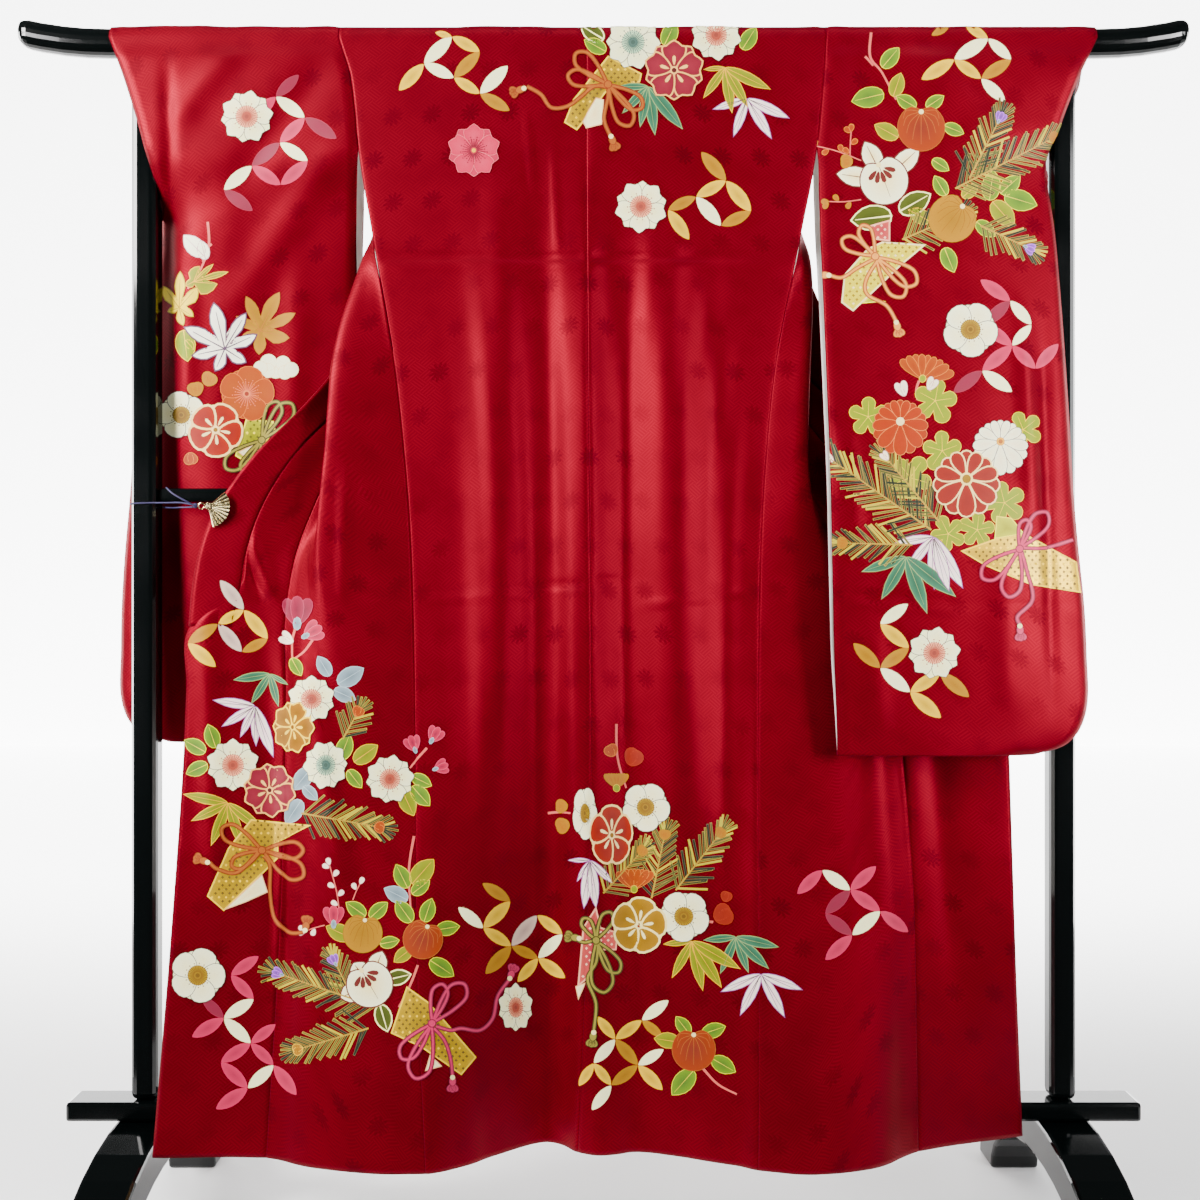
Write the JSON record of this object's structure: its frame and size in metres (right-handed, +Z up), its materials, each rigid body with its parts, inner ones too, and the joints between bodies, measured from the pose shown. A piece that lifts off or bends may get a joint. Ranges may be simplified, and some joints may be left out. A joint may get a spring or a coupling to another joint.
{
  "type": "furisode on a kimono stand",
  "caption": "Long-sleeved silk kimono hung from its back over the rail of a free-standing black lacquer stand, fronts drawn out to the sides.",
  "frame": {"origin": "on the floor under the middle of the stand", "axes": "+Z up, +X to the right as the garment's back is seen, +Y away from that viewer"},
  "size_m": [1.686, 0.5184, 1.7437],
  "materials": {
    "lacquer": "black gloss lacquer",
    "silk": "crimson figured silk satin",
    "gold": "polished gold",
    "cord": "purple silk cord"
  },
  "bodies": {
    "root": {"top_rail": "lacquer", "post_left": "lacquer", "post_right": "lacquer", "crossbar": "lacquer", "base_plank": "lacquer", "foot_left": "lacquer", "foot_right": "lacquer", "body_left": "silk", "body_right": "silk", "okumi_left": "silk", "okumi_right": "silk", "collar": "silk", "sleeve_left": "silk", "sleeve_right": "silk", "clip_fan": "gold", "clip_hub": "gold", "clip_jaw": "gold", "clip_ring": "gold", "cord_loop": "cord", "cord_tail": "cord", "cord_knot": "cord"}
  },
  "joints": []
}
